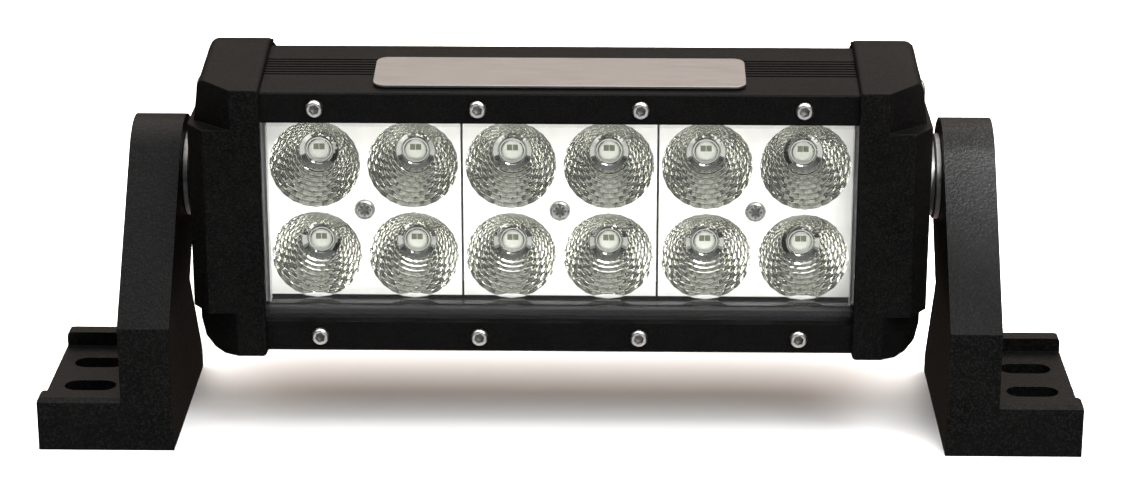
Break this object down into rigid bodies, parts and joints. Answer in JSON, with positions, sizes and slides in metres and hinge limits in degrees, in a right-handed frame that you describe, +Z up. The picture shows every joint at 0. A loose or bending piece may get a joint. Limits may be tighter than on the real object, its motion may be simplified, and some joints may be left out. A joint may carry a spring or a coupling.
{
  "type": "led light bar",
  "caption": "LED light bar with a finned aluminium head, chromed reflectors behind a clear lens, and slotted foot brackets that the head tilts between.",
  "frame": {"origin": "on the mounting surface, half way between the two feet and at the middle of the overall depth", "axes": "+X along the bar, to the right when facing the lens, +Y from the lens towards the rear fins, +Z up from the mounting surface"},
  "size_m": [0.2732, 0.08, 0.1025],
  "materials": {
    "powder_coat": "fine textured black powder coat",
    "bracket_coat": "coarser textured black powder coat on cast aluminium",
    "stainless": "turned stainless steel",
    "reflector_chrome": "vacuum metallised plastic, bright",
    "silicone": "matte silicone",
    "black_nylon": "moulded black nylon",
    "clear_lens": "clear polycarbonate, polished",
    "board_white": "white solder mask on an aluminium board",
    "led_ceramic": "white ceramic",
    "led_phosphor": "clear silicone dome over yellow phosphor",
    "thermal_film": "soft grey-blue thermal film",
    "driver_green": "green solder mask",
    "brass": "turned brass",
    "ferrite": "sintered ferrite",
    "capacitor_sleeve": "printed-free dark sleeve",
    "chip_epoxy": "moulded epoxy",
    "terminal_green": "moulded terminal block",
    "lead_red": "silicone wire insulation",
    "satin_aluminium": "satin brushed, clear anodised",
    "adhesive": "foam adhesive"
  },
  "bodies": {
    "bracket_left": {"bracket_left": "bracket_coat"},
    "head": {"housing": "powder_coat", "end_cap_left": "powder_coat", "end_cap_right": "powder_coat", "cap_gasket_left": "silicone", "cap_gasket_right": "silicone", "cap_screws_left": "stainless", "cap_screws_right": "stainless", "bezel_strip_top": "powder_coat", "bezel_strip_bottom": "powder_coat", "bezel_screws": "stainless", "lens": "clear_lens", "lens_gasket": "silicone", "reflector_left": "reflector_chrome", "reflector_centre": "reflector_chrome", "reflector_right": "reflector_chrome", "reflector_screws": "stainless", "led_board": "board_white", "led_packages": "led_ceramic", "led_domes": "led_phosphor", "thermal_pad": "thermal_film", "driver_board": "driver_green", "driver_standoffs": "brass", "driver_screws": "stainless", "driver_inductor": "ferrite", "driver_capacitors": "capacitor_sleeve", "driver_chips": "chip_epoxy", "driver_terminals": "terminal_green", "led_leads": "lead_red", "lead_grommet": "silicone", "gland_body": "black_nylon", "gland_seal": "silicone", "gland_nut": "black_nylon", "gland_locknut": "black_nylon", "breather_vent": "black_nylon", "nameplate": "satin_aluminium", "nameplate_adhesive": "adhesive", "pivot_bolt_left": "stainless", "pivot_bolt_right": "stainless", "bolt_washer_left": "stainless", "bolt_washer_right": "stainless", "friction_spacer_left": "black_nylon", "friction_spacer_right": "black_nylon", "spacer_washer_left": "stainless", "spacer_washer_right": "stainless"},
    "bracket_right": {"bracket_right": "bracket_coat"}
  },
  "joints": [
    {"name": "head_tilt", "type": "hinge", "parent": "bracket_left", "child": "head", "pos_m": [0, 0.006, 0.062], "axis": [1, 0, 0], "range_deg": [-90, 90]},
    {"name": "right_pivot", "type": "hinge", "parent": "head", "child": "bracket_right", "pos_m": [0, 0.006, 0.062], "axis": [1, 0, 0], "range_deg": [-90, 90]}
  ],
  "couplings": [
    {"joint": "right_pivot", "follows": "head_tilt", "ratio": -1}
  ]
}
